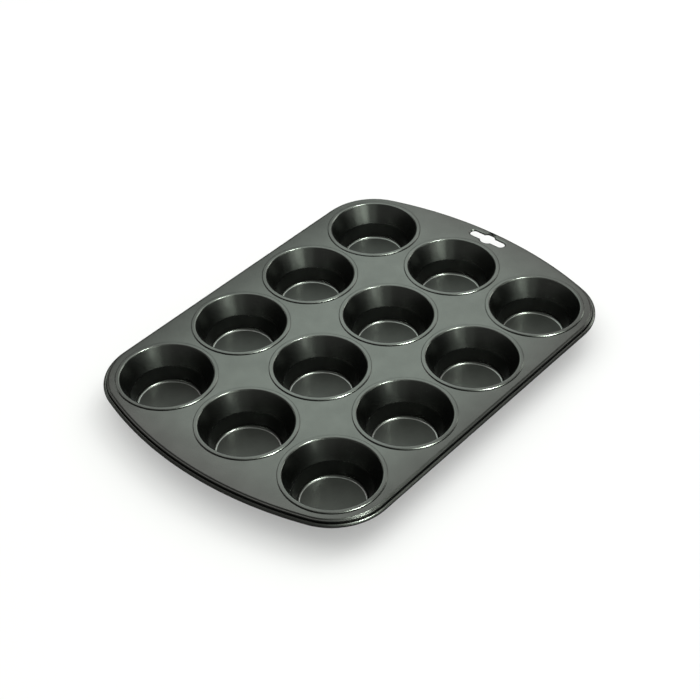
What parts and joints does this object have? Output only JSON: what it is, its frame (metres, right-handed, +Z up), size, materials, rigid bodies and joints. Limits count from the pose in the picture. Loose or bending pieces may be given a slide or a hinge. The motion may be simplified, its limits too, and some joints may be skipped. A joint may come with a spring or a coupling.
{
  "type": "muffin tin",
  "caption": "Coated steel muffin tin: a flat frame sheet with a wired, curled rim and a hanging slot, carrying drawn tapered cups by their rolled lips.",
  "frame": {"origin": "middle of the tin in plan, in the plane of the cups' undersides on which it stands", "axes": "+Y along the tin towards the end with the hanging slot, +X across its three columns of cups, +Z up"},
  "size_m": [0.2706, 0.38, 0.0297],
  "materials": {
    "coated_steel": "satin dark grey non-stick coating with a faint green cast",
    "wire_steel": "bare drawn steel wire, hidden in the rim"
  },
  "bodies": {
    "root": {"frame_sheet": "coated_steel", "rim_wire": "wire_steel", "cup_row1_col1": "coated_steel", "cup_row1_col2": "coated_steel", "cup_row1_col3": "coated_steel", "cup_row2_col1": "coated_steel", "cup_row2_col2": "coated_steel", "cup_row2_col3": "coated_steel", "cup_row3_col1": "coated_steel", "cup_row3_col2": "coated_steel", "cup_row3_col3": "coated_steel", "cup_row4_col1": "coated_steel", "cup_row4_col2": "coated_steel", "cup_row4_col3": "coated_steel"}
  },
  "joints": []
}
